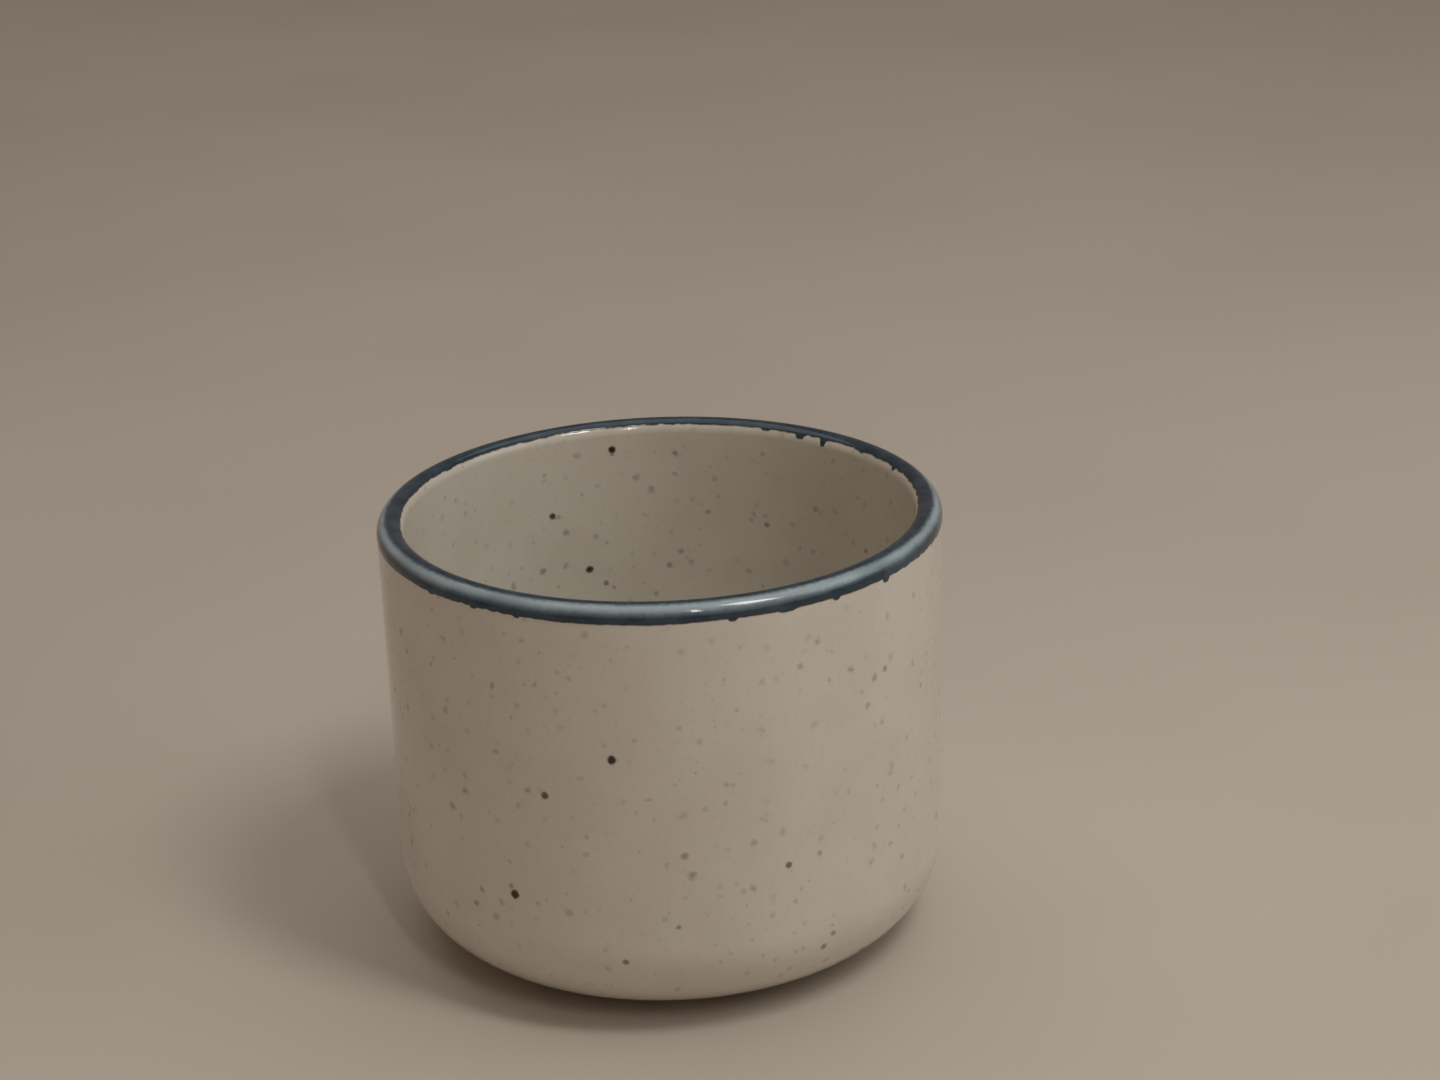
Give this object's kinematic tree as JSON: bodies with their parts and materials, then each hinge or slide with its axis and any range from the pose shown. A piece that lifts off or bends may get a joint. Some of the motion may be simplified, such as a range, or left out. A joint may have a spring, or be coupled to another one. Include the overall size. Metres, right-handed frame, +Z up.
{
  "type": "ceramic mug",
  "caption": "Straight-sided stoneware mug without a handle, with speckled cream glaze, a rounded lower edge, a foot ring and a blue glazed lip.",
  "frame": {"origin": "middle of the foot ring's underside, on the mug's axis", "axes": "+Z up along the mug's axis; +X and +Y are any two directions across it, since every piece is turned about +Z"},
  "size_m": [0.09, 0.09, 0.0725],
  "materials": {
    "fired_clay": "unglazed, dry, fine-grained",
    "outer_cream_glaze": "glossy, with brown iron specks",
    "inner_cream_glaze": "glossy, with brown iron specks",
    "blue_band_glaze": "glossy slate blue, paler where it is thin on the lip",
    "base_cream_glaze": "glossy"
  },
  "bodies": {
    "root": {"clay_body": "fired_clay", "outer_glaze": "outer_cream_glaze", "inner_glaze": "inner_cream_glaze", "rim_band": "blue_band_glaze", "base_glaze": "base_cream_glaze"}
  },
  "joints": []
}
